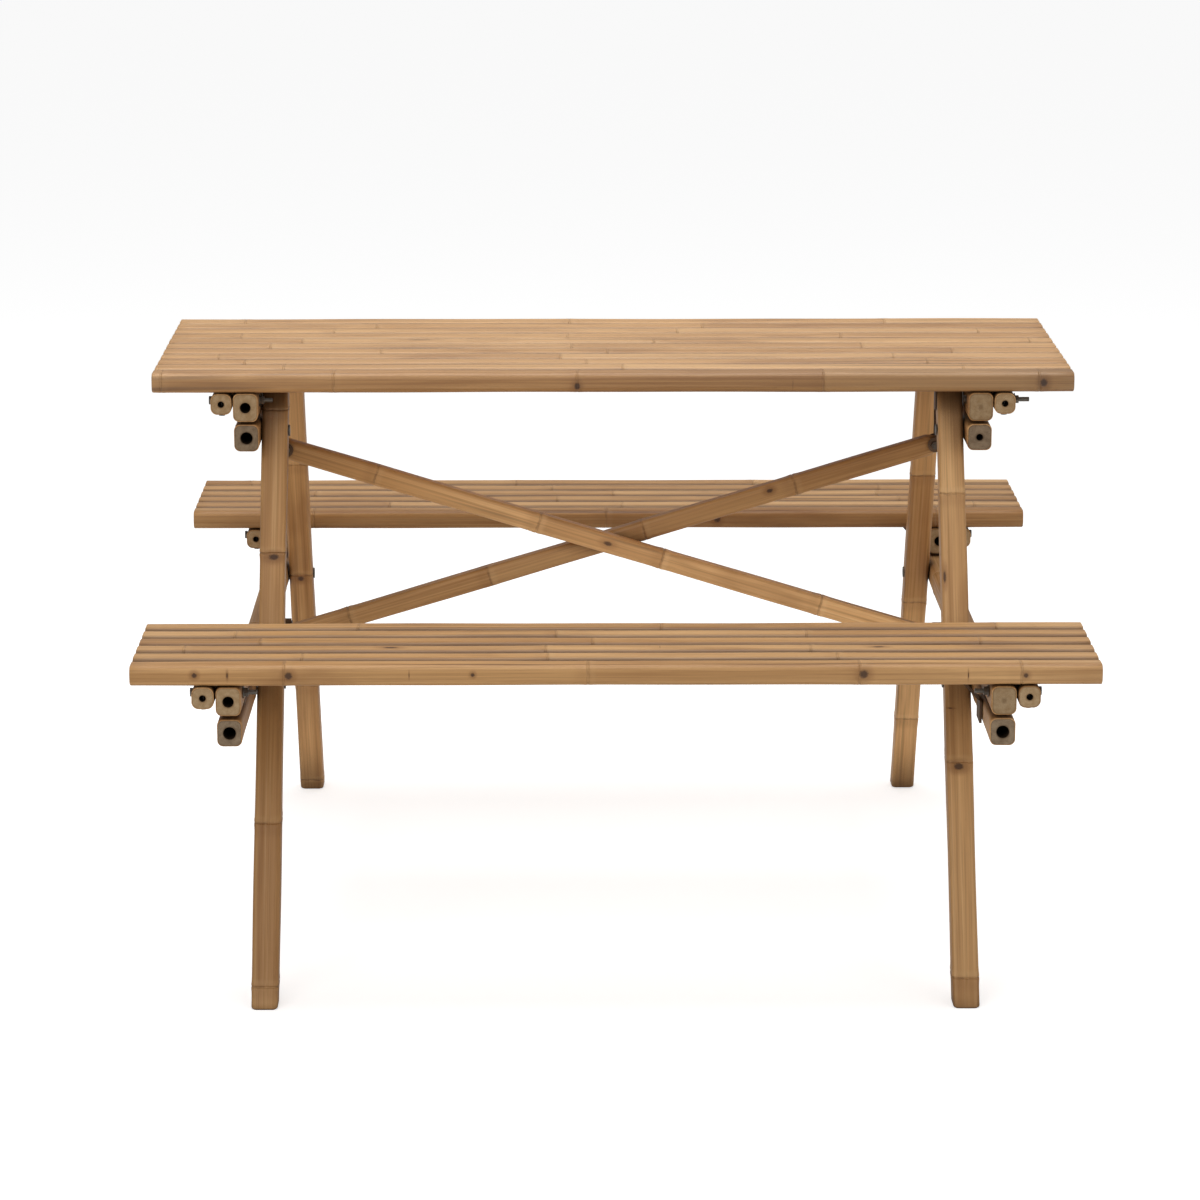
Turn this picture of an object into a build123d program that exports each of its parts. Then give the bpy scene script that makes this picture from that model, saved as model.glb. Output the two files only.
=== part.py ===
from build123d import *
import math
import os

# Bamboo picnic table with two attached benches, in millimetres.
# +X runs along the slats, the front bench is at -Y, +Z is up.
# The origin is on the floor, under the centre of the tabletop.

# ---- overall size ----
table_length = 1200.0
table_height = 760.0
bench_height = 458.0
bench_inner_y = 360.0

# ---- slats ----
top_slat_width = 39.4
top_slat_gap = 3.6
bench_slat_width = 38.2
bench_slat_gap = 3.8
slat_thick = 27.0
slat_round = 9.0
top_slat_count = 11
bench_slat_count = 6
top_width = top_slat_count * (top_slat_width + top_slat_gap) - top_slat_gap
bench_width = bench_slat_count * (bench_slat_width + bench_slat_gap) - bench_slat_gap
bench_mid_y = bench_inner_y + bench_width / 2
top_under = table_height - slat_thick
bench_under = bench_height - slat_thick

# ---- poles that run front to back ----
rail_width = 33.0
upper_rail_height = 38.0
lower_rail_height = 36.0
rail_round = 8.0
rail_x = 478.0
hinge_gap = 3.0
batten_size = 29.0
batten_round = 9.0
batten_clear = 0.5
panel_clear = 1.0
upper_bore_radius = 7.0
lower_bore_radius = 8.0
batten_bore_radius = 4.0
bore_depth = 55.0
rail_inner = rail_x - rail_width / 2
rail_outer = rail_x + rail_width / 2
batten_x = rail_outer + panel_clear + batten_clear + batten_size / 2
top_rail_length = top_width - 6.0
bench_rail_length = bench_width - 6.0
seat_rail_length = 2 * (bench_inner_y + bench_width) - 8.0

# ---- legs ----
leg_width = 35.0
leg_depth = 36.0
leg_round = 6.0
leg_top_y = 142.0
leg_foot_y = 542.0
leg_top_z = top_under - 1.0
leg_x = rail_inner - leg_width / 2
leg_inner = leg_x - leg_width / 2
leg_slope = (leg_foot_y - leg_top_y) / top_under

# ---- crossed braces ----
brace_height = 28.0
brace_depth = 27.0
brace_round = 6.0
brace_pin_x = 440.0
brace_mid_z = 488.0
brace_rise = 133.0
brace_gap = 4.0
brace_y = (brace_depth + brace_gap) / 2
brace_high_z = brace_mid_z + brace_rise
brace_low_z = brace_mid_z - brace_rise

# ---- hinges ----
barrel_radius = 3.4
pin_radius = 1.7
pin_clear = 0.08
leaf_thick = 1.4
leaf_reach = 30.0
leaf_root = 5.0
knuckle_gap = 0.6
left_axis_x = -rail_outer
top_left_axis_z = top_under - upper_rail_height - hinge_gap / 2
right_axis_x = leg_inner - 5.0
right_axis_drop = 5.5
top_right_axis_z = top_under - right_axis_drop
bench_left_axis_z = bench_under - upper_rail_height - hinge_gap / 2
bench_right_axis_z = bench_under - right_axis_drop
rail_hinge_length = 60.0
rail_hinge_y = 90.0
leg_hinge_length = 22.0
leg_hinge_y = 154.0
bench_hinge_length = 90.0
crank_length = 40.0

# ---- heights of the four lower poles ----
top_lower_rail_z = top_under - upper_rail_height - hinge_gap - lower_rail_height / 2
seat_rail_z = bench_under - upper_rail_height - hinge_gap - lower_rail_height / 2

# ---- fasteners ----
screw_radius = 2.0
screw_head_radius = 4.0
screw_head_height = 2.5
screw_bite = 16.0
bolt_radius = 3.0
hole_clear = 0.1
bolt_head_radius = 5.5
bolt_head_height = 3.5
nut_height = 5.0
washer_radius = 8.0
washer_thick = 1.2
batten_bolt_inset = 34.0
button_radius = 7.5
button_height = 1.8

# ---- brackets that hold the braces ----
plate_thick = 3.0
ear_thick = 2.7
ear_gap = 0.6
ear_radius = 10.0
catch_radius = 10.0
catch_slot_width = 7.4
high_catch_angle = 202.7
low_catch_angle = 40.5
bracket_touch = 0.1

FRONT = -1
REAR = 1
LEFT = -1
RIGHT = 1


def box_between(low, high):
    """Box from its lowest corner to its highest corner."""
    size = [high[i] - low[i] for i in range(3)]
    middle = [(high[i] + low[i]) / 2 for i in range(3)]
    return Pos(*middle) * Box(*size)


def ordered_box(ax, bx, ay, by, az, bz):
    """Box between two values on each axis, given in either order."""
    low = (min(ax, bx), min(ay, by), min(az, bz))
    high = (max(ax, bx), max(ay, by), max(az, bz))
    return box_between(low, high)


def rod_x(x0, x1, y, z, radius):
    """Round rod along X."""
    middle = (x0 + x1) / 2
    return Pos(middle, y, z) * Rot(0, 90, 0) * Cylinder(radius, abs(x1 - x0))


def rod_y(x, y0, y1, z, radius):
    """Round rod along Y."""
    middle = (y0 + y1) / 2
    return Pos(x, middle, z) * Rot(90, 0, 0) * Cylinder(radius, abs(y1 - y0))


def rod_z(x, y, z0, z1, radius):
    """Round rod along Z."""
    return Pos(x, y, (z0 + z1) / 2) * Cylinder(radius, abs(z1 - z0))


def slat(y, width, under, screw_rows):
    """One slat along X with blind screw holes in its underside."""
    start = Plane(
        origin=(-table_length / 2, y, under + slat_thick / 2),
        x_dir=(0, 1, 0),
        z_dir=(1, 0, 0),
    )
    body = extrude(start * RectangleRounded(width, slat_thick, slat_round), table_length)
    for x in screw_rows:
        body -= rod_z(x, y, under - 1, under + screw_bite + 1, screw_radius + hole_clear)
    return body


def pole_y(x, y_mid, z, width, height, rounding, length, bore, open_front=True, open_rear=True):
    """Squared bamboo pole along Y, hollow at its open ends."""
    start = Plane(origin=(x, y_mid - length / 2, z), x_dir=(1, 0, 0), z_dir=(0, 1, 0))
    body = extrude(start * RectangleRounded(width, height, rounding), length)
    if open_front:
        front_end = y_mid - length / 2
        body -= rod_y(x, front_end - 1, front_end + bore_depth, z, bore)
    if open_rear:
        rear_end = y_mid + length / 2
        body -= rod_y(x, rear_end - bore_depth, rear_end + 1, z, bore)
    return body


def leg_y(z):
    """Distance of a leg's centre line from the table's middle at a height."""
    return leg_top_y + (top_under - z) * leg_slope


def leg(side, end):
    """Raked leg, cut level at the floor and under the slats."""
    over = 80.0
    low = Vector(side * leg_x, end * leg_y(-over), -over)
    high = Vector(side * leg_x, end * leg_y(top_under + over), top_under + over)
    run = high - low
    start = Plane(origin=low, x_dir=(1, 0, 0), z_dir=run)
    body = extrude(start * RectangleRounded(leg_width, leg_depth, leg_round), run.length)
    body &= ordered_box(side * leg_inner - 90, side * leg_inner + 90, -700, 700, 0, leg_top_z)
    for z in (top_lower_rail_z, seat_rail_z):
        hole = rod_x(side * (leg_inner - 5), side * (rail_outer + 5), end * leg_y(z), z,
                     bolt_radius + hole_clear)
        body -= hole
    return body


def slat_rows_of(y_mid, slat_count, width, gap):
    """Y of each slat's centre in one panel."""
    pitch = width + gap
    first = y_mid - (slat_count - 1) * pitch / 2
    return [first + i * pitch for i in range(slat_count)]


def batten_bolt_rows(y_mid, length):
    """Y of the two bolts that tie a batten to its rail."""
    offset = length / 2 - batten_bolt_inset
    return [y_mid - offset, y_mid + offset]


def upper_rail_centre(side):
    """Upper rails stand clear of the leg tops that turn past them."""
    return side * (rail_x + panel_clear)


def batten_centre(side):
    """Battens lie against the outer face of the upper rails."""
    return side * batten_x


def panel_rail(side, y_mid, length, under, closed_front):
    """Upper rail under a slatted panel, drilled for the batten bolts."""
    z = under - upper_rail_height / 2
    body = pole_y(upper_rail_centre(side), y_mid, z, rail_width, upper_rail_height, rail_round,
                  length, upper_bore_radius, open_front=not closed_front)
    bolt_z = under - batten_size / 2
    for y in batten_bolt_rows(y_mid, length):
        body -= rod_x(side * (rail_inner - 20), side * (rail_outer + 20), y, bolt_z,
                      bolt_radius + hole_clear)
    return body


def panel_batten(side, y_mid, length, under, slat_rows):
    """Small outer batten that carries the slats, drilled for screws and bolts."""
    z = under - batten_size / 2
    x = batten_centre(side)
    body = pole_y(x, y_mid, z, batten_size, batten_size, batten_round, length, batten_bore_radius)
    for y in slat_rows:
        body -= rod_z(x, y, under - batten_size - 1, under + 1, screw_radius + hole_clear)
    for y in batten_bolt_rows(y_mid, length):
        body -= rod_x(x - 30, x + 30, y, z, bolt_radius + hole_clear)
    return body


def slat_screw(x, y, under):
    """Pan head screw driven up through the batten into a slat."""
    seat = under - batten_size
    shank = rod_z(x, y, seat, under + screw_bite, screw_radius)
    head = rod_z(x, y, seat - screw_head_height, seat, screw_head_radius)
    return shank + head


def bolt_x(head_face, nut_face, tail, y, z):
    """Bolt along X: head on one face, washer and nut on the other, with a bare tail."""
    way = 1 if nut_face > head_face else -1
    rod = rod_x(head_face, nut_face + way * tail, y, z, bolt_radius)
    head = rod_x(head_face - way * bolt_head_height, head_face, y, z, bolt_head_radius)
    washer = rod_x(nut_face, nut_face + way * washer_thick, y, z, washer_radius)
    nut_start = nut_face + way * washer_thick
    nut_profile = Plane(origin=(nut_start, y, z), x_dir=(0, 1, 0), z_dir=(way, 0, 0))
    nut = extrude(nut_profile * RegularPolygon(bolt_head_radius, 6), nut_height)
    return rod + head + washer + nut


def panel_fasteners(y_mid, length, under, slat_rows, tail_out_on_right):
    """All screws and bolts of one slatted panel."""
    pieces = []
    for side in (LEFT, RIGHT):
        for y in slat_rows:
            pieces.append(slat_screw(batten_centre(side), y, under))
        batten_face = batten_centre(side) + side * batten_size / 2
        rail_face = upper_rail_centre(side) - side * rail_width / 2
        z = under - batten_size / 2
        for y in batten_bolt_rows(y_mid, length):
            if tail_out_on_right and side == RIGHT:
                pieces.append(bolt_x(rail_face, batten_face, 20.0, y, z))
            else:
                pieces.append(bolt_x(batten_face, rail_face, 17.0, y, z))
    return pieces


def frame_rail(side, z, length):
    """Lower rail of an end frame, drilled for the bolts through the legs."""
    body = pole_y(side * rail_x, 0, z, rail_width, lower_rail_height, rail_round, length,
                  lower_bore_radius)
    for end in (FRONT, REAR):
        body -= rod_x(side * (rail_inner - 5), side * (rail_outer + 5), end * leg_y(z), z,
                      bolt_radius + hole_clear)
    return body


def button_bolt(inner_face, outer_face, y, z):
    """Bolt along X with a flat button on each face."""
    way = 1 if outer_face > inner_face else -1
    rod = rod_x(inner_face, outer_face, y, z, bolt_radius)
    inner = rod_x(inner_face - way * button_height, inner_face, y, z, button_radius)
    outer = rod_x(outer_face, outer_face + way * button_height, y, z, button_radius)
    return rod + inner + outer


def frame_bolts(side):
    """Four bolts that hold the two legs of a frame to its two rails."""
    pieces = []
    for z in (top_lower_rail_z, seat_rail_z):
        for end in (FRONT, REAR):
            pieces.append(button_bolt(side * leg_inner, side * rail_outer, end * leg_y(z), z))
    return pieces


def knuckles(y_mid, length):
    """Start and end of the three knuckles of a hinge."""
    each = (length - 2 * knuckle_gap) / 3
    first = y_mid - length / 2
    return [(first + i * (each + knuckle_gap), first + i * (each + knuckle_gap) + each)
            for i in range(3)]


def bore_for_pin(body, x, z, y_mid, length):
    """Open a leaf's knuckles for the hinge pin."""
    hole = rod_y(x, y_mid - length / 2 - 1, y_mid + length / 2 + 1, z, pin_radius + pin_clear)
    return body - hole


def hinge_pin(x, z, y_mid, length):
    """Pin with a small head at each end of the barrel."""
    low = y_mid - length / 2
    high = y_mid + length / 2
    shaft = rod_y(x, low - 1.5, high + 1.5, z, pin_radius)
    head_a = rod_y(x, low - 1.5, low - 0.3, z, barrel_radius - 0.8)
    head_b = rod_y(x, high + 0.3, high + 1.5, z, barrel_radius - 0.8)
    return shaft + head_a + head_b


def flat_leaf(x, z, y_mid, length, on_top):
    """Leaf of a closed hinge between two stacked rails; its plate runs towards +X."""
    away = 1 if on_top else -1
    near = z + away * 0.1
    far = z + away * (0.1 + leaf_thick)
    body = ordered_box(x + leaf_root, x + leaf_reach, y_mid - length / 2, y_mid + length / 2,
                       near, far)
    rows = knuckles(y_mid, length)
    own = [rows[0], rows[2]] if on_top else [rows[1]]
    for y0, y1 in own:
        body += rod_y(x, y0, y1, z, barrel_radius)
        body += ordered_box(x, x + leaf_root, y0, y1, near, far)
    return bore_for_pin(body, x, z, y_mid, length)


def slat_leaf(x, z, y_mid, length, under):
    """Leaf screwed to the underside of the slats; its plate runs towards -X."""
    face = under - bracket_touch
    body = ordered_box(x - leaf_reach, x - leaf_root, y_mid - length / 2, y_mid + length / 2,
                       face - leaf_thick, face)
    rows = knuckles(y_mid, length)
    for y0, y1 in (rows[0], rows[2]):
        body += rod_y(x, y0, y1, z, barrel_radius)
        body += ordered_box(x - leaf_root, x, y0, y1, face - leaf_thick - 1.0, face)
    return bore_for_pin(body, x, z, y_mid, length)


def leg_leaf(x, z, y_mid, length):
    """Leaf screwed to the inner face of a right-hand leg."""
    face = leg_inner - bracket_touch
    body = ordered_box(face - leaf_thick, face, y_mid - length / 2, y_mid + length / 2,
                       z - leaf_reach, z - leaf_root)
    y0, y1 = knuckles(y_mid, length)[1]
    body += rod_y(x, y0, y1, z, barrel_radius)
    body += ordered_box(x + 1.0, face, y0, y1, z - leaf_root, z - 0.5)
    return bore_for_pin(body, x, z, y_mid, length)


def cranked_leaf(x, z, y_mid, length):
    """Cranked leaf from the seat rail's inner face up to the bench hinge axis."""
    face = rail_inner - bracket_touch
    inner = face - plate_thick
    foot_low = seat_rail_z - lower_rail_height / 2 + 4
    foot_high = seat_rail_z + lower_rail_height / 2 - 4
    foot = ordered_box(inner, face, y_mid - length / 2, y_mid + length / 2, foot_low, foot_high)
    y0, y1 = knuckles(y_mid, length)[1]
    barrel = rod_y(x, y0, y1, z, barrel_radius)
    elbow_x = (inner + face) / 2
    elbow_z = foot_high - plate_thick / 2
    run = math.hypot(elbow_x - x, z - elbow_z)
    tilt = math.degrees(math.atan2(z - elbow_z, elbow_x - x))
    middle_x = (elbow_x + x) / 2
    middle_z = (elbow_z + z) / 2
    arm = Pos(middle_x, (y0 + y1) / 2, middle_z) * Rot(0, tilt, 0) * Box(run, y1 - y0, plate_thick)
    return bore_for_pin(foot + arm + barrel, x, z, y_mid, length)


def brace(y, left_z, right_z, pivot_on_right):
    """Diagonal brace between its two bolt centres, rounded where it pivots."""
    tilt = math.degrees(math.atan2(left_z - right_z, 2 * brace_pin_x))
    run = math.hypot(2 * brace_pin_x, left_z - right_z)
    square_end = brace_height / 2
    start = Plane(origin=(-run / 2 - square_end, 0, 0), x_dir=(0, 1, 0), z_dir=(1, 0, 0))
    bar = extrude(start * RectangleRounded(brace_depth, brace_height, brace_round),
                  run + 2 * square_end)
    if pivot_on_right:
        keep = ordered_box(-run, run / 2, -brace_depth, brace_depth, -brace_height, brace_height)
        keep += rod_y(run / 2, -brace_depth, brace_depth, 0, brace_height / 2)
        bar &= keep
    for x in (-run / 2, run / 2):
        bar -= rod_y(x, -brace_depth, brace_depth, 0, bolt_radius + hole_clear)
    return Pos(0, y, brace_mid_z) * Rot(0, tilt, 0) * bar


def bolt_y(x, z, y_head, y_nut):
    """Bolt along Y with a round head and a nut."""
    way = 1 if y_nut > y_head else -1
    rod = rod_y(x, y_head, y_nut + way * (nut_height + 2), z, bolt_radius)
    head = rod_y(x, y_head - way * bolt_head_height, y_head, z, bolt_head_radius)
    profile = Plane(origin=(x, y_nut, z), x_dir=(1, 0, 0), z_dir=(0, way, 0))
    nut = extrude(profile * RegularPolygon(bolt_head_radius, 6), nut_height)
    return rod + head + nut


def wing_bolt(x, z, y_head, y_nut):
    """Bolt along Y that is let go by hand: its nut has two wings."""
    way = 1 if y_nut > y_head else -1
    rod = rod_y(x, y_head, y_nut + way * (nut_height + 3), z, bolt_radius)
    head = rod_y(x, y_head - way * 1.5, y_head, z, bolt_head_radius)
    hub = rod_y(x, y_nut, y_nut + way * nut_height, z, bolt_head_radius)
    wings = ordered_box(x - 1.2, x + 1.2, y_nut + way, y_nut + way * (nut_height + 4), z - 14, z + 14)
    return rod + head + hub + wings


def ear(x, z, y0, y1, root_x, root_low, root_high, radius):
    """Bracket ear: a round eye joined to its root on the rail."""
    eye = rod_y(x, y0, y1, z, radius)
    web = ordered_box(x, root_x, y0, y1, root_low, root_high)
    return eye + web


def pivot_bracket(y, pin_z, root_low, root_high):
    """Two ears and a base on a right-hand rail, around the end of a brace."""
    face = rail_inner - bracket_touch
    half = brace_depth / 2 + ear_gap
    web_low = min(root_low, pin_z - ear_radius)
    body = ordered_box(face - plate_thick, face, y - half - ear_thick, y + half + ear_thick,
                       web_low, root_high)
    for way in (-1, 1):
        inside = y + way * half
        outside = y + way * (half + ear_thick)
        body += ear(brace_pin_x, pin_z, inside, outside, face, min(root_low, pin_z),
                    max(pin_z, root_high), ear_radius)
    body -= ordered_box(brace_pin_x - 30, face - plate_thick, y - half, y + half,
                        web_low - 30, root_high + 30)
    hole = rod_y(brace_pin_x, y - 40, y + 40, pin_z, bolt_radius + hole_clear)
    return body - hole


def catch_plate(y, outward, pin_z, root_low, root_high, open_angle):
    """Slotted plate on a left-hand rail that takes the wing bolt of a brace."""
    face = -(rail_inner - bracket_touch)
    inside = y + outward * (brace_depth / 2 + ear_gap)
    outside = inside + outward * ear_thick
    body = ear(-brace_pin_x, pin_z, inside, outside, face, min(root_low, pin_z),
               max(pin_z, root_high), catch_radius)
    body += ordered_box(face, face + plate_thick, inside, inside + outward * 24, root_low, root_high)
    reach = 40.0
    slot = Pos(reach / 2, 0, 0) * Box(reach, 10 * ear_thick, catch_slot_width)
    slot = Pos(-brace_pin_x, (inside + outside) / 2, pin_z) * Rot(0, -open_angle, 0) * slot
    body -= slot
    body -= rod_y(-brace_pin_x, inside - 10, inside + 10, pin_z, catch_slot_width / 2)
    return body


def save(name, pieces):
    """Write one node; a node can hold several separate solids."""
    shape = pieces[0] if len(pieces) == 1 else Compound(children=pieces)
    export_step(shape, "parts/" + name + ".step")


def build_panel(name, y_mid, rows, width, under, rail_length, tail_out, closed_right):
    """Slats, battens, upper rails and fasteners of a tabletop or bench."""
    screw_x = (batten_centre(LEFT), batten_centre(RIGHT))
    for index, y in enumerate(rows):
        save(f"{name}_slat_{index + 1:02d}", [slat(y, width, under, screw_x)])
    for side, word in ((LEFT, "left"), (RIGHT, "right")):
        closed = closed_right and side == RIGHT
        save(f"{name}_upper_rail_{word}", [panel_rail(side, y_mid, rail_length, under, closed)])
        save(f"{name}_batten_{word}", [panel_batten(side, y_mid, rail_length, under, rows)])
    save(f"{name}_fasteners", panel_fasteners(y_mid, rail_length, under, rows, tail_out))


def build_panels():
    """The tabletop and the two benches."""
    rows = slat_rows_of(0, top_slat_count, top_slat_width, top_slat_gap)
    build_panel("top", 0, rows, top_slat_width, top_under, top_rail_length, True, True)
    for name, y_mid, closed_right in (("front", -bench_mid_y, True), ("rear", bench_mid_y, False)):
        rows = slat_rows_of(y_mid, bench_slat_count, bench_slat_width, bench_slat_gap)
        build_panel(name + "_bench", y_mid, rows, bench_slat_width, bench_under,
                    bench_rail_length, False, closed_right)


def build_frames():
    """Two A-shaped end frames: legs, rails and their bolts."""
    for side, word in ((LEFT, "left"), (RIGHT, "right")):
        save(f"{word}_front_leg", [leg(side, FRONT)])
        save(f"{word}_rear_leg", [leg(side, REAR)])
        save(f"{word}_top_rail", [frame_rail(side, top_lower_rail_z, top_rail_length)])
        save(f"{word}_seat_rail", [frame_rail(side, seat_rail_z, seat_rail_length)])
        save(f"{word}_frame_bolts", frame_bolts(side))


def build_hinges():
    """Hinges between the panels and the two end frames."""
    top_leaves = []
    left_leaves = []
    right_leaves = []
    for end in (FRONT, REAR):
        y = end * rail_hinge_y
        top_leaves.append(flat_leaf(left_axis_x, top_left_axis_z, y, rail_hinge_length, True))
        left_leaves.append(flat_leaf(left_axis_x, top_left_axis_z, y, rail_hinge_length, False))
        left_leaves.append(hinge_pin(left_axis_x, top_left_axis_z, y, rail_hinge_length))
        y = end * leg_hinge_y
        top_leaves.append(slat_leaf(right_axis_x, top_right_axis_z, y, leg_hinge_length, top_under))
        right_leaves.append(leg_leaf(right_axis_x, top_right_axis_z, y, leg_hinge_length))
        right_leaves.append(hinge_pin(right_axis_x, top_right_axis_z, y, leg_hinge_length))
    save("top_hinge_leaves", top_leaves)
    for end, word in ((FRONT, "front"), (REAR, "rear")):
        y = end * bench_mid_y
        upper = flat_leaf(left_axis_x, bench_left_axis_z, y, bench_hinge_length, True)
        left_leaves.append(flat_leaf(left_axis_x, bench_left_axis_z, y, bench_hinge_length, False))
        left_leaves.append(hinge_pin(left_axis_x, bench_left_axis_z, y, bench_hinge_length))
        under_slats = slat_leaf(right_axis_x, bench_right_axis_z, y, crank_length, bench_under)
        save(f"{word}_bench_hinge_leaves", [upper, under_slats])
        right_leaves.append(cranked_leaf(right_axis_x, bench_right_axis_z, y, crank_length))
        right_leaves.append(hinge_pin(right_axis_x, bench_right_axis_z, y, crank_length))
    save("left_frame_hinge_leaves", left_leaves)
    save("right_frame_hinge_leaves", right_leaves)


def build_braces():
    """Crossed braces: both pivot on the right frame and are caught on the left one."""
    rail_half = lower_rail_height / 2
    top_low = top_lower_rail_z - rail_half + 2
    top_high = top_lower_rail_z + rail_half - 2
    seat_low = seat_rail_z - rail_half + 2
    seat_high = seat_rail_z + 2
    save("front_brace", [brace(-brace_y, brace_high_z, brace_low_z, True)])
    save("rear_brace", [brace(brace_y, brace_low_z, brace_high_z, True)])
    save("right_frame_brace_brackets", [
        pivot_bracket(-brace_y, brace_low_z, seat_low, seat_high),
        pivot_bracket(brace_y, brace_high_z, top_low, top_high),
    ])
    save("left_frame_brace_catches", [
        catch_plate(-brace_y, FRONT, brace_high_z, top_low, top_high,
                    high_catch_angle),
        catch_plate(brace_y, REAR, brace_low_z, seat_low, seat_high,
                    low_catch_angle),
    ])
    half = brace_depth / 2
    outer = half + ear_gap + ear_thick
    save("front_brace_bolts", [
        bolt_y(brace_pin_x, brace_low_z, -brace_y - outer, -brace_y + outer),
        wing_bolt(-brace_pin_x, brace_high_z, -brace_y + half, -brace_y - outer - 0.4),
    ])
    save("rear_brace_bolts", [
        bolt_y(brace_pin_x, brace_high_z, brace_y + outer, brace_y - outer),
        wing_bolt(-brace_pin_x, brace_low_z, brace_y - half, brace_y + outer + 0.4),
    ])


os.makedirs("parts", exist_ok=True)
build_panels()
build_frames()
build_hinges()
build_braces()
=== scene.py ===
import math
import random

import bmesh
import bpy
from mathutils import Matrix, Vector


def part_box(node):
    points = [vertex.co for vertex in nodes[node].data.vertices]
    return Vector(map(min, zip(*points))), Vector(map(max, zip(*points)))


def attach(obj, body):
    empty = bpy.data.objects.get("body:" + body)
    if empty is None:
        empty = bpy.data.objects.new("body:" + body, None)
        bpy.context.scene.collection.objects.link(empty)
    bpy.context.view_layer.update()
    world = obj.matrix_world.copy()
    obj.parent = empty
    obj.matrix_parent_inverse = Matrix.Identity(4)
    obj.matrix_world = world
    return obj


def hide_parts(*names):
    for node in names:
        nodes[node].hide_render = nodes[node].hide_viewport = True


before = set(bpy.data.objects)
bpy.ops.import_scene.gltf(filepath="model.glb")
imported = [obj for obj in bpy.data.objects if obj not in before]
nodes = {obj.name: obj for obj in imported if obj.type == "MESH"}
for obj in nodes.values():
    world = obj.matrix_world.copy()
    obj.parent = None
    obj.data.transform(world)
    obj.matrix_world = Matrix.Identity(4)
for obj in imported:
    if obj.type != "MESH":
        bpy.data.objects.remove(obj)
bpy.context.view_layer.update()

X = Vector((1, 0, 0))
Y = Vector((0, 1, 0))
Z = Vector((0, 0, 1))

# ---------------------------------------------------------------- colours

HONEY = (0.66, 0.375, 0.15, 1)
TAN = (0.535, 0.285, 0.105, 1)
UMBER = (0.3, 0.135, 0.042, 1)
STRAW = (0.78, 0.5, 0.235, 1)
PALE_SEGMENT = (0.72, 0.44, 0.2, 1)
PALE_RING = (0.72, 0.5, 0.27, 1)
SCORCH = (0.145, 0.068, 0.026, 1)
GROOVE_BROWN = (0.11, 0.055, 0.024, 1)
SCAR_BROWN = (0.075, 0.036, 0.018, 1)
# painted shade in the gaps between slats
GAP_SHADE_BROWN = (0.085, 0.04, 0.016, 1)
# painted shade in corners
CORNER_SHADE_BROWN = (0.07, 0.032, 0.012, 1)
# brown pith darkened with painted shade of the hollow bores
PITH_AND_SHADE_DARK = (0.012, 0.007, 0.004, 1)
PITH_AND_SHADE_PALE = (0.06, 0.034, 0.018, 1)
ZINC_DARK = (0.1, 0.092, 0.08, 1)
ZINC_LIGHT = (0.26, 0.245, 0.22, 1)
RUST = (0.07, 0.04, 0.022, 1)
COAT_DARK = (0.1, 0.055, 0.028, 1)
COAT_RUBBED = (0.2, 0.125, 0.07, 1)

# ---------------------------------------------------------------- materials


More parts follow.
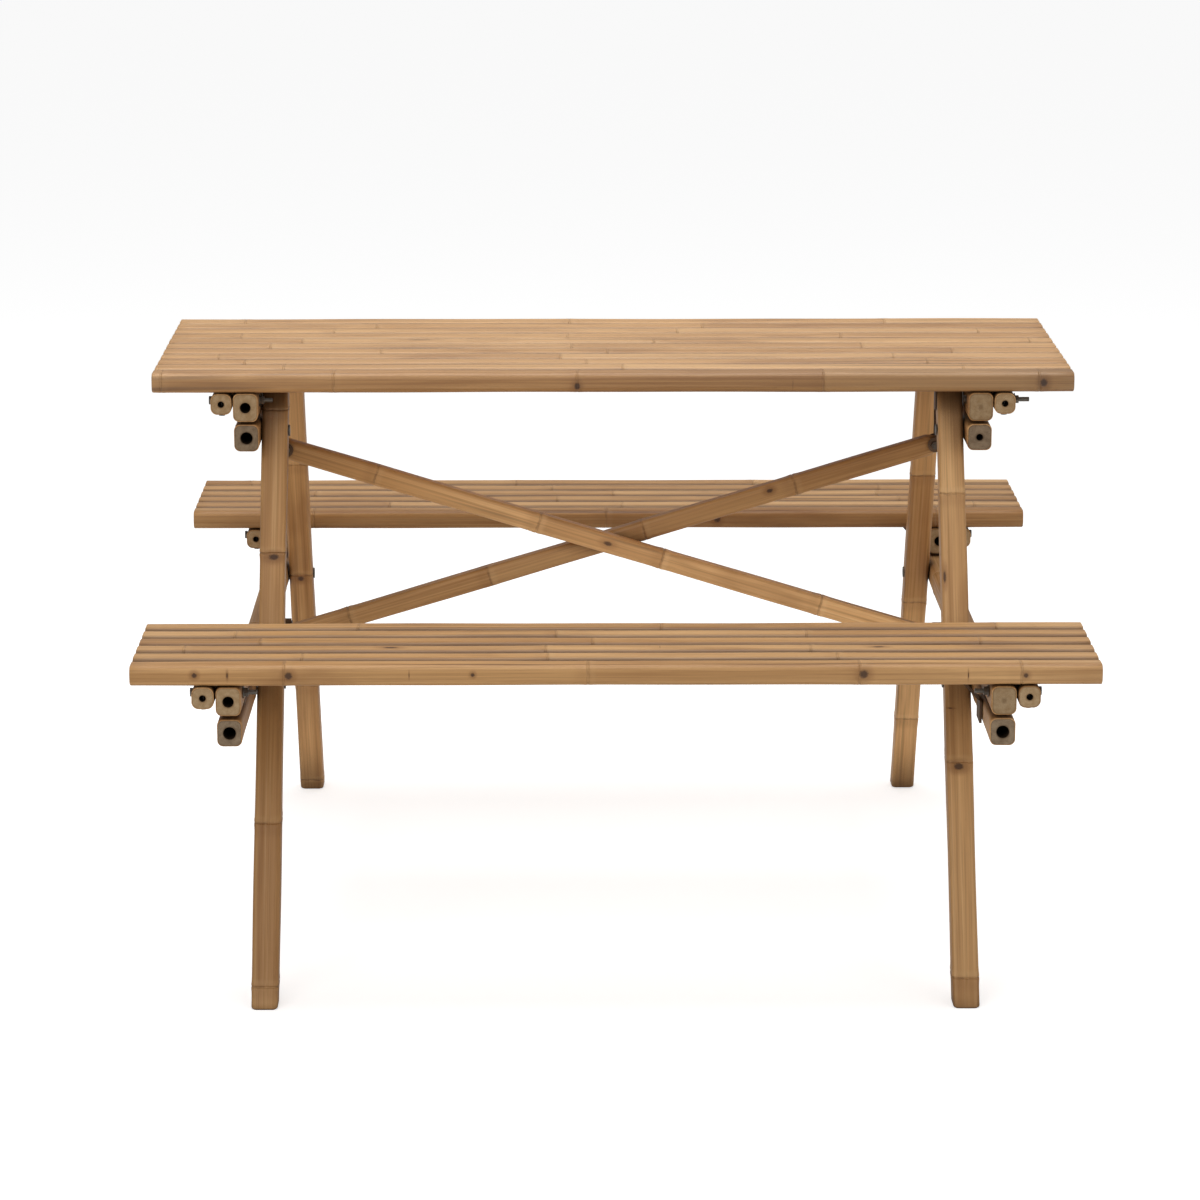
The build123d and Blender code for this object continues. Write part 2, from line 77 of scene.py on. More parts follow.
class Graph:
    """Short-hand for building a node tree."""

    def __init__(self, name):
        self.material = bpy.data.materials.new(name)
        self.material.use_nodes = True
        self.tree = self.material.node_tree
        self.tree.nodes.clear()

    def node(self, kind, **settings):
        made = self.tree.nodes.new(kind)
        for key, value in settings.items():
            setattr(made, key, value)
        return made

    def put(self, value, socket):
        """Link a socket, or set a plain value."""
        if isinstance(value, bpy.types.NodeSocket):
            self.tree.links.new(value, socket)
        elif value is not None:
            socket.default_value = value

    def math(self, op, a, b=None, c=None):
        made = self.node("ShaderNodeMath", operation=op)
        for i, value in enumerate((a, b, c)):
            self.put(value, made.inputs[i])
        return made.outputs[0]

    def vector(self, op, *values):
        made = self.node("ShaderNodeVectorMath", operation=op)
        for i, value in enumerate(values):
            self.put(value, made.inputs[i])
        return made.outputs

    def smooth(self, value, low, high, to_low=0.0, to_high=1.0):
        """Smooth step from to_low at low to to_high at high."""
        made = self.node("ShaderNodeMapRange", interpolation_type="SMOOTHSTEP")
        for i, v in enumerate((value, low, high, to_low, to_high)):
            self.put(v, made.inputs[i])
        return made.outputs[0]

    def mix(self, factor, a, b):
        made = self.node("ShaderNodeMix", data_type="RGBA")
        self.put(factor, made.inputs[0])
        self.put(a, made.inputs[6])
        self.put(b, made.inputs[7])
        return made.outputs[2]

    def noise(self, vector, scale, detail=3.0, rough=0.55, distortion=0.0):
        made = self.node("ShaderNodeTexNoise")
        self.put(vector, made.inputs["Vector"])
        made.inputs["Scale"].default_value = scale
        made.inputs["Detail"].default_value = detail
        made.inputs["Roughness"].default_value = rough
        made.inputs["Distortion"].default_value = distortion
        return made.outputs[0]

    def grain(self, place, along, across, detail=3.0, rough=0.55):
        """Noise with its own scale along a pole and across it, per metre."""
        return self.noise(self.stretch(place, (along, across, across)), 1.0, detail, rough)

    def stretch(self, vector, scale):
        return self.vector("MULTIPLY", vector, scale)[0]

    def attribute(self, name):
        return self.node("ShaderNodeAttribute", attribute_name=name)

    def tint(self, color, hue=None, saturation=None, value=None):
        made = self.node("ShaderNodeHueSaturation")
        self.put(color, made.inputs["Color"])
        self.put(hue, made.inputs["Hue"])
        self.put(saturation, made.inputs["Saturation"])
        self.put(value, made.inputs["Value"])
        return made.outputs[0]

    def surface(self, color, rough, metallic, height, bump, specular=0.5, coat=0.0):
        """Principled surface; height is a pattern and bump its depth in metres."""
        shader = self.node("ShaderNodeBsdfPrincipled")
        self.put(color, shader.inputs["Base Color"])
        self.put(rough, shader.inputs["Roughness"])
        self.put(metallic, shader.inputs["Metallic"])
        self.put(specular, shader.inputs["Specular IOR Level"])
        self.put(coat, shader.inputs["Coat Weight"])
        shader.inputs["Coat Roughness"].default_value = 0.35
        if height is not None:
            made = self.node("ShaderNodeBump")
            made.inputs["Strength"].default_value = 1.0
            made.inputs["Distance"].default_value = bump
            self.put(height, made.inputs["Height"])
            self.tree.links.new(made.outputs[0], shader.inputs["Normal"])
        out = self.node("ShaderNodeOutputMaterial")
        self.tree.links.new(shader.outputs[0], out.inputs[0])
        return self.material


def fibre_color(g, place, fibre, coarse):
    """Honey and tan fibres with stains, specks and paler stretches between joints."""
    segment = g.attribute("segment").outputs["Fac"]
    cloud = g.grain(place, 3.5, 14.0, 3.0, 0.6)
    speck = g.grain(place, 60.0, 700.0, 2.0, 0.7)
    band = g.grain(place, 0.7, 190.0, 3.0, 0.6)
    color = g.mix(g.smooth(coarse, 0.3, 0.7), TAN, HONEY)
    color = g.mix(g.smooth(band, 0.52, 0.7, 0.0, 0.5), color, UMBER)
    color = g.mix(g.smooth(band, 0.32, 0.46, 0.4, 0.0), color, STRAW)
    color = g.mix(g.smooth(fibre, 0.42, 0.68, 0.0, 0.4), color, UMBER)
    color = g.mix(g.smooth(cloud, 0.5, 0.72, 0.0, 0.6), color, UMBER)
    color = g.mix(g.smooth(speck, 0.66, 0.8, 0.0, 0.5), color, UMBER)
    color = g.mix(g.smooth(segment, 0.5, 1.0, 0.0, 0.35), color, UMBER)
    color = g.mix(g.smooth(segment, 0.0, 0.5, 0.3, 0.0), color, PALE_SEGMENT)

    # a scorched streak here and there, long and thin
    streak = g.noise(g.stretch(place, (1.4, 60.0, 60.0)), 1.3, 2.0, 0.5, 0.2)
    return g.mix(g.smooth(streak, 0.6, 0.74, 0.0, 0.62), color, SCORCH)


def with_rings(g, color, place, ring_gain):
    """Rings at the joints: a thin dark groove, a pale band beyond it and a brown one before it."""
    parts = g.node("ShaderNodeSeparateXYZ")
    g.put(g.attribute("ring").outputs["Vector"], parts.inputs[0])
    offset, distance = parts.outputs[0], parts.outputs[1]
    near = g.smooth(distance, 0.019, 0.027, 1.0, 0.0)
    wobble = g.grain(place, 1.0, 160.0, 2.0)
    edge = g.math("ADD", offset, g.math("MULTIPLY", g.math("SUBTRACT", wobble, 0.5), 0.0035))

    def band(shift, inner, outer, strength):
        far = g.math("ABSOLUTE", g.math("ADD", edge, shift))
        return g.math("MULTIPLY", near, g.smooth(far, inner, outer, strength, 0.0))

    groove = band(0.0, 0.0003, 0.0022, 0.85)
    color = g.mix(band(-0.005, 0.001, 0.007, 0.5 * ring_gain), color, g.mix(0.5, HONEY, PALE_RING))
    color = g.mix(band(0.008, 0.001, 0.015, 0.55 * ring_gain), color, UMBER)
    patches = g.grain(place, 0.5, 110.0, 1.0)
    broken = g.smooth(patches, 0.36, 0.6, 0.1 * ring_gain, ring_gain)
    return g.mix(g.math("MULTIPLY", groove, broken), color, GROOVE_BROWN), groove


def with_scars(g, color, place):
    """Scars: the eye left by a cut branch, with a ragged outline."""
    scar = g.attribute("scar").outputs["Vector"]
    shift = g.node("ShaderNodeTexNoise")
    g.put(g.stretch(place, (130.0, 130.0, 130.0)), shift.inputs["Vector"])
    off = g.vector("MULTIPLY_ADD", shift.outputs["Color"], (0.5, 0.5, 0.5), (-0.25, -0.25, -0.25))
    ragged = g.vector("ADD", scar, off[0])
    distance = g.vector("LENGTH", ragged[0])["Value"]
    color = g.mix(g.smooth(distance, 0.9, 2.4, 0.6, 0.0), color, UMBER)
    core = g.smooth(distance, 0.45, 1.0, 0.92, 0.0)
    return g.mix(core, color, SCAR_BROWN), core


def with_painted_shade(g, color):
    """Painted shade: darker in corners and in the gaps between slats, where shade falls."""
    # painted shade along the sides of slats that face a gap
    color = g.mix(g.attribute("gap_shade").outputs["Fac"], color, GAP_SHADE_BROWN)
    # painted shade in corners, found by an occlusion node
    corner = g.node("ShaderNodeAmbientOcclusion", samples=8)
    corner.inputs["Distance"].default_value = 0.11
    shade = g.smooth(corner.outputs["AO"], 0.15, 0.85, 0.8, 0.0)
    return g.mix(shade, color, CORNER_SHADE_BROWN)


def bamboo_material(name, gain, ring_gain, sheen):
    """Varnished bamboo skin; gain is its brightness, ring_gain how strongly its joints show."""
    g = Graph(name)
    place = g.attribute("grain").outputs["Vector"]
    tone = g.attribute("tone").outputs["Fac"]
    fibre = g.grain(place, 6.0, 420.0, 4.0, 0.6)
    coarse = g.grain(place, 2.2, 90.0)
    color = fibre_color(g, place, fibre, coarse)
    color, groove = with_rings(g, color, place, ring_gain)
    color, core = with_scars(g, color, place)
    # painted shade in corners and in the gaps between slats
    color = with_painted_shade(g, color)
    hue = g.smooth(tone, 0.0, 1.0, 0.497, 0.502)
    saturation = g.smooth(tone, 0.0, 1.0, 1.04, 0.96)
    brightness = g.math("MULTIPLY_ADD", tone, 0.36 * gain, 0.8 * gain)
    color = g.tint(color, hue, saturation, brightness)

    height = g.math("ADD", g.math("MULTIPLY", fibre, 0.35), g.math("MULTIPLY", coarse, 0.5))
    height = g.math("SUBTRACT", height, g.math("MULTIPLY", groove, 1.6))
    height = g.math("SUBTRACT", height, g.math("MULTIPLY", core, 0.9))
    rough = g.smooth(g.math("ADD", fibre, g.math("MULTIPLY", core, 0.4)), 0.3, 0.9, 0.4, 0.66)
    return g.surface(color, rough, 0.0, height, 0.0006, sheen, 0.08)


def cut_end_material(name, rim, core, dust):
    """Sawn end of a pole: fibre bundles, darker towards the bore and the outer skin."""
    g = Graph(name)
    place = g.attribute("grain").outputs["Vector"]
    span = g.attribute("span").outputs["Fac"]
    tone = g.attribute("tone").outputs["Fac"]
    cells = g.node("ShaderNodeTexVoronoi")
    g.put(place, cells.inputs["Vector"])
    cells.inputs["Scale"].default_value = 900.0
    bundle = g.smooth(cells.outputs["Distance"], 0.1, 0.42, 1.0, 0.0)
    patch = g.grain(place, 1.0, 130.0, 3.0, 0.6)
    color = g.mix(g.smooth(patch, 0.3, 0.75), rim, core)
    color = g.mix(g.math("MULTIPLY", bundle, 0.45), color, dust)
    color = g.mix(g.smooth(span, 0.86, 1.0, 0.0, 0.65), color, dust)
    color = g.mix(g.smooth(span, 0.0, 0.25, 0.6, 0.0), color, dust)
    color = g.tint(color, value=g.smooth(tone, 0.0, 1.0, 0.75, 1.12))
    return g.surface(color, 0.78, 0.0, patch, 0.0004, 0.3)


def bore_material():
    """Inside of a pole: brown pith darkened with painted shade, nearly black from outside."""
    g = Graph("bamboo_bore")
    place = g.attribute("grain").outputs["Vector"]
    rough_pith = g.grain(place, 40.0, 300.0, 3.0, 0.65)
    # painted shade inside the bore
    color = g.mix(rough_pith, PITH_AND_SHADE_DARK, PITH_AND_SHADE_PALE)
    return g.surface(color, 0.9, 0.0, rough_pith, 0.0008, 0.15)


def steel_material():
    """Dull zinc plate with brushed marks and a few brown stains."""
    g = Graph("zinc_steel")
    where = g.node("ShaderNodeTexCoord").outputs["Object"]
    brush = g.grain(where, 300.0, 2200.0, 3.0, 0.6)
    cloud = g.noise(where, 60.0, 4.0, 0.6)
    stain = g.noise(where, 22.0, 5.0, 0.65)
    color = g.mix(cloud, ZINC_DARK, ZINC_LIGHT)
    color = g.mix(g.smooth(stain, 0.55, 0.75, 0.0, 0.6), color, RUST)
    rough = g.smooth(cloud, 0.3, 0.75, 0.32, 0.58)
    height = g.math("ADD", g.math("MULTIPLY", brush, 0.6), cloud)
    return g.surface(color, rough, 0.9, height, 0.00015, 0.5)


def coated_material():
    """Brown powder coat: fine orange-peel surface, rubbed paler in patches."""
    g = Graph("brown_coated_steel")
    where = g.node("ShaderNodeTexCoord").outputs["Object"]
    peel = g.noise(where, 900.0, 2.0, 0.5)
    rub = g.noise(where, 45.0, 4.0, 0.65)
    color = g.mix(g.smooth(rub, 0.35, 0.8), COAT_DARK, COAT_RUBBED)
    rough = g.smooth(rub, 0.3, 0.8, 0.42, 0.62)
    return g.surface(color, rough, 0.25, peel, 0.0002, 0.45)


SKIN_TOP = bamboo_material("bamboo_top", 1.08, 0.16, 0.75)
SKIN_BENCH = bamboo_material("bamboo_bench", 1.06, 0.22, 0.4)
SKIN_POLE = bamboo_material("bamboo_pole", 1.04, 0.42, 0.38)
# painted light: a brighter copy of the pole skin for the rear legs and the front brace
SKIN_POLE_PAINTED_LIGHT = bamboo_material("bamboo_pole_painted_light", 1.26, 0.42, 0.38)
END_PALE = cut_end_material(
    "bamboo_end_pale", (0.52, 0.36, 0.2, 1), (0.4, 0.25, 0.12, 1), (0.2, 0.11, 0.045, 1))
END_GREY = cut_end_material(
    "bamboo_end_grey", (0.36, 0.26, 0.165, 1), (0.24, 0.165, 0.1, 1), (0.1, 0.058, 0.028, 1))
BORE = bore_material()
STEEL = steel_material()
COATED = coated_material()

# ---------------------------------------------------------------- pole meshes

CORNER_STEPS = 6
SIDE_STEPS = 4
STATION_SPACING = 0.022
JOINT_STEPS = (-0.02, -0.012, -0.007, -0.004, -0.0022, -0.001, 0.0,
               0.001, 0.0022, 0.004, 0.007, 0.012, 0.02)
RING_REACH = 0.03
END_LEVELS = (0.3, 0.6, 0.85)
BORE_PROFILE = ((0.0015, 0.98), (0.006, 1.03), (0.018, 0.97), (0.034, 1.05), (0.05, 0.9))
SKIN_SLOT, END_SLOT, BORE_SLOT = 0, 1, 2


def outline(width, height, rounding):
    """Points of a rounded rectangle, going round once, with points along its flat sides too."""
    corner_points = []
    half_w = width / 2 - rounding
    half_h = height / 2 - rounding
    corners = ((half_w, half_h, 0), (-half_w, half_h, 90),
               (-half_w, -half_h, 180), (half_w, -half_h, 270))
    for cx, cy, start in corners:
        angles = [math.radians(start + 90 * i / CORNER_STEPS) for i in range(CORNER_STEPS + 1)]
        corner_points.append([(cx + rounding * math.cos(a), cy + rounding * math.sin(a))
                              for a in angles])
    points = []
    for i, corner in enumerate(corner_points):
        points += corner
        a = corner[-1]
        b = corner_points[(i + 1) % 4][0]
        for k in range(1, SIDE_STEPS):
            share = k / SIDE_STEPS
            points.append((a[0] + (b[0] - a[0]) * share, a[1] + (b[1] - a[1]) * share))
    return points


def even_angles(points, radius):
    """Points of a circle matched to an outline, so a flat end can be bridged to a bore."""
    total = len(points)
    lengths = [0.0]
    for i in range(total):
        a = Vector(points[i])
        b = Vector(points[(i + 1) % total])
        lengths.append(lengths[-1] + (b - a).length)
    base = math.atan2(points[0][1], points[0][0])
    angles = [base + 2 * math.pi * lengths[i] / lengths[-1] for i in range(total)]
    return [(radius * math.cos(a), radius * math.sin(a)) for a in angles]


def ring_stations(length, joints, bevel):
    """Distances along a pole where its mesh has a ring, closer together near each joint."""
    stations = {0.0, length, bevel * 0.4, bevel, length - bevel, length - bevel * 0.4}
    count = max(4, int(length / STATION_SPACING))
    for i in range(1, count):
        stations.add(length * i / count)
    for j in joints:
        for step in JOINT_STEPS:
            if bevel < j + step < length - bevel:
                stations.add(j + step)
    kept = []
    for s in sorted(stations):
        near_joint = any(abs(s - j) < 0.021 for j in joints)
        near_end = s < bevel * 1.01 or s > length - bevel * 1.01
        gap = 0.0007 if near_joint or near_end else 0.006
        if not kept or s - kept[-1] > min(gap, bevel * 0.3) or s == length:
            kept.append(s)
    return kept


class Pole:
    """Mesh of one squared bamboo pole, with the values its material reads on each vertex.

    wide and tall are the section's directions; rings lie in their plane, so a leg cut level
    at the floor has level rings. joints are distances from start. scars are (distance, side
    across, side up, size along, size across): the eye of a cut branch on the skin. tone is a
    brightness, or a tuple of start, middle and end ones. The painted gap shade darkens the
    section's low and high sides along wide, where a slat faces the next one; it is given as
    the strengths on those two sides and the share of the half width it starts from.
    """

    def __init__(self, start, end, wide, tall, size, rounding, seed, joints=None, scars=(),
                 tone=None, spacing=(0.24, 0.38), gap_shade=(0.0, 0.0, 1.0), relief=1.0,
                 bulge=0.0004, bevel=0.0012, round_end=False):
        pick = random.Random(seed)
        self.start = Vector(start)
        run = Vector(end) - self.start
        self.length = run.length
        self.along = run.normalized()
        self.wide, self.tall = wide, tall
        self.size = size
        self.seed = seed
        self.scars = scars
        self.gap_shade = gap_shade
        self.relief = relief
        self.bulge = bulge
        self.bevel = bevel
        self.round_end = round_end
        self.joints = self.spread_joints(pick, spacing) if joints is None else joints
        shade = pick.uniform(0.1, 0.9) if tone is None else tone
        self.shades = shade if isinstance(shade, tuple) else (shade, shade, shade)
        self.base = outline(size[0], size[1], rounding)
        self.phase = [pick.uniform(0, math.tau) for _ in range(6)]
        self.segment_tones = [pick.random() for _ in range(len(self.joints) + 1)]
        self.mesh = bmesh.new()
        layers = self.mesh.verts.layers
        self.vector_layers = {name: layers.float_vector.new(name) for name in ("grain", "scar", "ring")}
        self.value_layers = {name: layers.float.new(name)
                             for name in ("tone", "span", "gap_shade", "segment")}

    def spread_joints(self, pick, spacing):
        joints = []
        at = pick.uniform(0.05, spacing[0])
        while at < self.length - 0.02:
            joints.append(at)
            at += pick.uniform(*spacing)
        return joints

    def joint_offset(self, s):
        """Signed distance from the nearest joint, held within RING_REACH."""
        if not self.joints:
            return RING_REACH
        best = min(self.joints, key=lambda j: abs(s - j))
        return max(-RING_REACH, min(RING_REACH, s - best))

    def tone_at(self, share):
        """Tone along the pole: its start, middle and end tones, joined by straight lines."""
        first, middle_tone, last = self.shades
        if share < 0.5:
            return first + (middle_tone - first) * share * 2
        return middle_tone + (last - middle_tone) * (share * 2 - 1)

    def gap_shade_at(self, u):
        """Painted shade near a side that faces the next slat."""
        strength = self.gap_shade[1] if u > 0 else self.gap_shade[0]
        inner = self.gap_shade[2]
        share = min(1.0, max(0.0, (abs(u) / (self.size[0] / 2) - inner) / (1.001 - inner)))
        return strength * share * share * (3 - 2 * share)

    def nearest_scar(self, s, u, v):
        """Offset from the nearest scar, in units of its own size."""
        best = Vector((50.0, 50.0, 50.0))
        for at, side, up, size_along, size_across in self.scars:
            d = Vector(((s - at) / size_along, (u - side) / size_across, (v - up) / size_across))
            if d.length < best.length:
                best = d
        return best

    def add(self, s, u, v, span=1.0):
        """Vertex at a distance along the pole and a place in its section."""
        made = self.mesh.verts.new(self.start + self.along * s + self.wide * u + self.tall * v)
        offset = self.joint_offset(s)
        grain = (s + self.seed * 7.31, u + self.seed * 0.37, v + self.seed * 0.11)
        made[self.vector_layers["grain"]] = Vector(grain)
        made[self.vector_layers["ring"]] = Vector((offset, abs(offset), 0.0))
        made[self.vector_layers["scar"]] = self.nearest_scar(s, u, v)
        made[self.value_layers["tone"]] = self.tone_at(s / self.length)
        made[self.value_layers["span"]] = span
        # painted shade near a side that faces the next slat
        made[self.value_layers["gap_shade"]] = self.gap_shade_at(u)
        segment = sum(1 for j in self.joints if j < s)
        made[self.value_layers["segment"]] = self.segment_tones[segment]
        return made

    def inset_at(self, s):
        """How far the skin lies inside the plain bar: it swells at joints and is eased at ends."""
        from_end = min(s, self.length - s)
        bulge = self.bulge
        inset = bulge * 1.6
        inset += bulge * 0.6 * math.sin(s * 9 + self.phase[0])
        inset += bulge * 0.5 * math.sin(s * 23 + self.phase[1])
        near = self.joint_offset(s)
        if abs(near) < RING_REACH:
            inset -= self.relief * bulge * 1.8 * math.exp(-(near / 0.0065) ** 2)
            inset += self.relief * bulge * 1.7 * math.exp(-(near / 0.0011) ** 2)
        if from_end < self.bevel:
            inset += (self.bevel - from_end) * (self.bevel - from_end) / self.bevel * 0.9
        return max(0.00005, inset)

    def section(self, s):
        """Section at a distance along the pole, never outside the plain bar."""
        inset = self.inset_at(s)
        half_u, half_v = self.size[0] / 2, self.size[1] / 2
        k_u = (half_u - inset) / half_u
        k_v = (half_v - inset) / half_v
        if self.round_end and self.length - s < half_v:
            left = half_v - (self.length - s)
            k_v *= max(0.16, math.sqrt(max(0.0, 1 - (left / half_v) ** 2)))
        points = []
        for u, v in self.base:
            wave = math.sin(3 * math.atan2(v, u) + self.phase[2] + s * 3)
            ripple = 1 - 0.006 * (0.5 + 0.5 * wave)
            points.append((u * k_u * ripple, v * k_v * ripple))
        return points

    def bridge(self, a, b, slot_index):
        """Band of faces between two rings."""
        total = len(a)
        for i in range(total):
            j = (i + 1) % total
            self.face((a[i], a[j], b[j], b[i]), slot_index)

    def close(self, ring, tip, slot_index):
        """Fan of faces from a ring to a point."""
        for i, vert in enumerate(ring):
            self.face((vert, ring[(i + 1) % len(ring)], tip), slot_index)

    def face(self, corners, slot_index):
        made = self.mesh.faces.new(corners)
        made.material_index = slot_index
        made.smooth = slot_index != END_SLOT

    def skin(self):
        rings = [[self.add(s, u, v) for u, v in self.section(s)]
                 for s in ring_stations(self.length, self.joints, self.bevel)]
        for a, b in zip(rings, rings[1:]):
            self.bridge(a, b, SKIN_SLOT)

    def cut_end(self, s, way, bore):
        """Flat sawn end, with a bore that runs inwards where the pole is open."""
        rim = self.section(s)
        circle = even_angles(rim, bore if bore else min(self.size) * 0.04)
        levels = [[self.add(s, u, v) for u, v in rim]]
        for k in END_LEVELS:
            levels.append([self.add(s, r[0] * (1 - k) + c[0] * k, r[1] * (1 - k) + c[1] * k, 1 - k)
                           for r, c in zip(rim, circle)])
        levels.append([self.add(s, c[0], c[1], 0.0) for c in circle])
        for a, b in zip(levels, levels[1:]):
            self.bridge(a, b, END_SLOT)
        if not bore:
            self.close(levels[-1], self.add(s, 0, 0, 0.0), END_SLOT)
            return
        last = levels[-1]
        for depth, grow in BORE_PROFILE:
            deep = s + way * depth
            ring = [self.add(deep, c[0] * grow, c[1] * grow, 0.0) for c in circle]
            self.bridge(last, ring, BORE_SLOT)
            last = ring
        self.close(last, self.add(deep + way * 0.002, 0, 0, 0.0), BORE_SLOT)

    def finish(self, name, materials):
        """Object with the finished mesh."""
        bmesh.ops.remove_doubles(self.mesh, verts=self.mesh.verts, dist=0.000001)
        bmesh.ops.recalc_face_normals(self.mesh, faces=self.mesh.faces)
        mesh = bpy.data.meshes.new(name)
        self.mesh.to_mesh(mesh)
        self.mesh.free()
        for material in materials:
            mesh.materials.append(material)
        made = bpy.data.objects.new(name, mesh)
        bpy.context.scene.collection.objects.link(made)
        return made


def pole(node, body, slot, skin, start, end, wide, tall, size, rounding, seed,
         bore=0.0, open_start=True, end_material=None, **extra):
    """Bamboo pole that stands for a CAD node and rides on its body."""
    shape = Pole(start, end, wide, tall, size, rounding, seed, **extra)
    shape.skin()
    shape.cut_end(0.0, 1, bore if open_start else 0.0)
    shape.cut_end(shape.length, -1, bore)
    made = shape.finish(node + "_bamboo", (skin, end_material or END_PALE, BORE))
    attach(made, body)
    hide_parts(node)


def middle(node):
    """Centre and size of a node's box."""
    low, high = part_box(node)
    return (low + high) / 2, high - low


def slat(node, body, skin, seed, rounding, **extra):
    """Slat that runs from left to right."""
    centre, size = middle(node)
    half = X * size.x / 2
    pole(node, body, "bamboo_slats", skin, centre - half, centre + half, Y, Z, (size.y, size.z),
         rounding, seed, spacing=(0.3, 0.52), bulge=0.0003, relief=0.45, **extra)


def cross_pole(node, body, seed, rounding, bore, **extra):
    """Pole that runs front to back."""
    centre, size = middle(node)
    half = Y * size.y / 2
    pole(node, body, "bamboo_poles", SKIN_POLE, centre - half, centre + half, X, Z,
         (size.x, size.z), rounding, seed, bore=bore, **extra)


def leg_cut(node, at_top):
    """Centre of one of a leg's level cuts, and the leg's section there."""
    co = [v.co for v in nodes[node].data.vertices]
    level = max(v.z for v in co) if at_top else min(v.z for v in co)
    cut = [v for v in co if abs(v.z - level) < 0.0005]
    low = (min(v.x for v in cut), min(v.y for v in cut))
    high = (max(v.x for v in cut), max(v.y for v in cut))
    centre = Vector(((low[0] + high[0]) / 2, (low[1] + high[1]) / 2, level))
    return centre, (high[0] - low[0], high[1] - low[1])


def leg(node, body, seed, joints, scars, tone, skin):
    """Raked leg from its foot to its top; joints and scars are counted from the foot."""
    bottom, section = leg_cut(node, False)
    top, _ = leg_cut(node, True)
    pole(node, body, "bamboo_poles", skin, bottom, top, X, Y, section, LEG_ROUND, seed,
         joints=joints, scars=scars, tone=tone, bevel=0.003)


def brace(node, rise, seed, joints, scars, tone, skin):
    """Diagonal brace whose rounded end turns on the right frame."""
    low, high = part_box(node)
    slope = math.atan(rise / BRACE_PIN_X)
    direction = Vector((math.cos(slope), 0, math.sin(slope)))
    up = Vector((-math.sin(slope), 0, math.cos(slope)))
    reach = direction * (math.hypot(BRACE_PIN_X, rise) + BRACE_HEIGHT / 2)
    centre = Vector((0, (low.y + high.y) / 2, BRACE_MID_Z))
    pole(node, node, "bamboo_poles", skin, centre - reach, centre + reach, Y, up,
         (high.y - low.y, BRACE_HEIGHT), BRACE_ROUND, seed,
         joints=joints, scars=scars, tone=tone, round_end=True)


# ---------------------------------------------------------------- slats

TOP_ROUND = 0.009
BENCH_ROUND = 0.0095
TOP_TONES = ((0.45, 0.05, -0.6), 0.6, 0.5, 0.72, 0.55, 0.66, 0.8, 0.6, 0.74, 0.58, 0.7)
BENCH_TONES = ((0.36, 0.45, 0.85), 0.5, 0.72, 0.45, 0.66, 0.78)
# painted shade in the gaps between slats: its strength, and the share of the half width it starts from
TOP_GAP_SHADE, TOP_GAP_SHADE_FROM = 0.75, 0.66
BENCH_GAP_SHADE, BENCH_GAP_SHADE_FROM = 0.9, 0.42
SLAT_FACE = 0.0135
TOP_EDGE = -0.0195
BENCH_EDGE = -0.0189


def slat_sides(index, count, strength, inner):
    """Painted gap shade of a slat's two sides: the outer sides of the first and last slat get none."""
    return (0.0 if index == 0 else strength, 0.0 if index == count - 1 else strength, inner)


def build_tabletop():
    """Eleven slats; the first is the front one."""
    count = len(TOP_TONES)
    for i, level in enumerate(TOP_TONES):
        tone = level if i == 0 else (level - 0.2, level + 0.05, level - 0.15)
        extra = {"tone": tone, "gap_shade": slat_sides(i, count, TOP_GAP_SHADE, TOP_GAP_SHADE_FROM)}
        if i == 0:
            extra["joints"] = [0.012, 0.236, 0.553, 0.874, 1.155]
            extra["scars"] = [(0.553, TOP_EDGE, -0.004, 0.005, 0.006),
                              (1.16, TOP_EDGE, 0.0, 0.006, 0.007)]
        if i == 6:
            extra["scars"] = [(0.34, 0.0, SLAT_FACE, 0.022, 0.003)]
        slat(f"top_slat_{i + 1:02d}", "table_top", SKIN_TOP, 11 + i, TOP_ROUND, **extra)


def build_benches():
    """Six slats in each bench; the first of each is the one nearest the front."""
    count = len(BENCH_TONES)
    for i in range(count):
        sides = slat_sides(i, count, BENCH_GAP_SHADE, BENCH_GAP_SHADE_FROM)
        front = {"tone": BENCH_TONES[i], "gap_shade": sides}
        rear = {"tone": BENCH_TONES[count - 1 - i], "gap_shade": sides}
        if i == 0:
            front["joints"] = [0.19, 0.565, 0.9, 1.1]
            front["scars"] = [(0.196, BENCH_EDGE, 0.001, 0.006, 0.006),
                              (0.08, BENCH_EDGE, 0.002, 0.004, 0.004),
                              (0.423, BENCH_EDGE, 0.002, 0.003, 0.003),
                              (0.905, BENCH_EDGE, 0.002, 0.007, 0.007),
                              (1.105, BENCH_EDGE, 0.0, 0.004, 0.004)]
            rear["scars"] = [(0.757, BENCH_EDGE, 0.001, 0.006, 0.006)]
            rear["tone"] = -0.1
        if i == 2:
            front["scars"] = [(0.318, 0.0, SLAT_FACE, 0.012, 0.005),
                              (0.93, 0.0, SLAT_FACE, 0.01, 0.004)]
        slat(f"front_bench_slat_{i + 1:02d}", "front_bench", SKIN_BENCH, 41 + i, BENCH_ROUND, **front)
        slat(f"rear_bench_slat_{i + 1:02d}", "rear_bench", SKIN_BENCH, 61 + i, BENCH_ROUND, **rear)


# ---------------------------------------------------------------- rails, battens, legs, braces

RAIL_ROUND = 0.008
BATTEN_ROUND = 0.0095
UPPER_BORE = 0.007
LOWER_BORE = 0.008
SMALL_LOWER_BORE = 0.0045
BATTEN_BORE = 0.0042
FIRST_RAIL_SEED = 90
LEG_ROUND = 0.006
LEG_FRONT = -0.0205
BRACE_ROUND = 0.0065
BRACE_HEIGHT = 0.028
BRACE_PIN_X = 0.440
BRACE_RISE = 0.133
BRACE_MID_Z = 0.488
BRACE_FRONT = -0.0135


